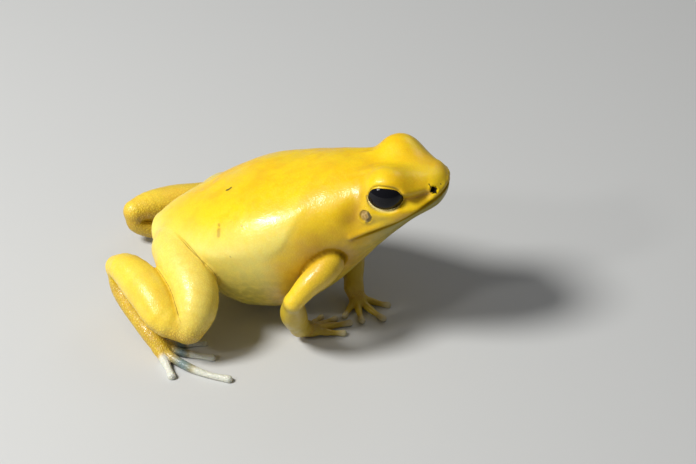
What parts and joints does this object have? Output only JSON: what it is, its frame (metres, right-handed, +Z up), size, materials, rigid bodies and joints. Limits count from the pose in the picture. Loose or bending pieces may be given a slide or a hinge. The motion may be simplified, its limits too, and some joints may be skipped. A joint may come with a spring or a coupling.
{
  "type": "golden poison frog",
  "caption": "Life-size golden poison frog sitting upright on its hands and feet, head raised, with round black eyes and smooth yellow skin.",
  "frame": {"origin": "middle of the frog's box in plan, on the floor under its hands and feet", "axes": "+X from the rump toward the snout, +Y toward the frog's left side, +Z up"},
  "size_m": [0.0507, 0.0428, 0.0292],
  "materials": {
    "skin": "moist satin skin, golden yellow, olive below, paler at the toe tips",
    "eye": "wet glossy black"
  },
  "bodies": {
    "root": {"torso": "skin", "head": "skin", "eye_right": "eye", "eye_left": "eye", "upper_arm_right": "skin", "forearm_right": "skin", "hand_right": "skin", "thigh_right": "skin", "shank_right": "skin", "foot_right": "skin", "upper_arm_left": "skin", "forearm_left": "skin", "hand_left": "skin", "thigh_left": "skin", "shank_left": "skin", "foot_left": "skin"}
  },
  "joints": []
}
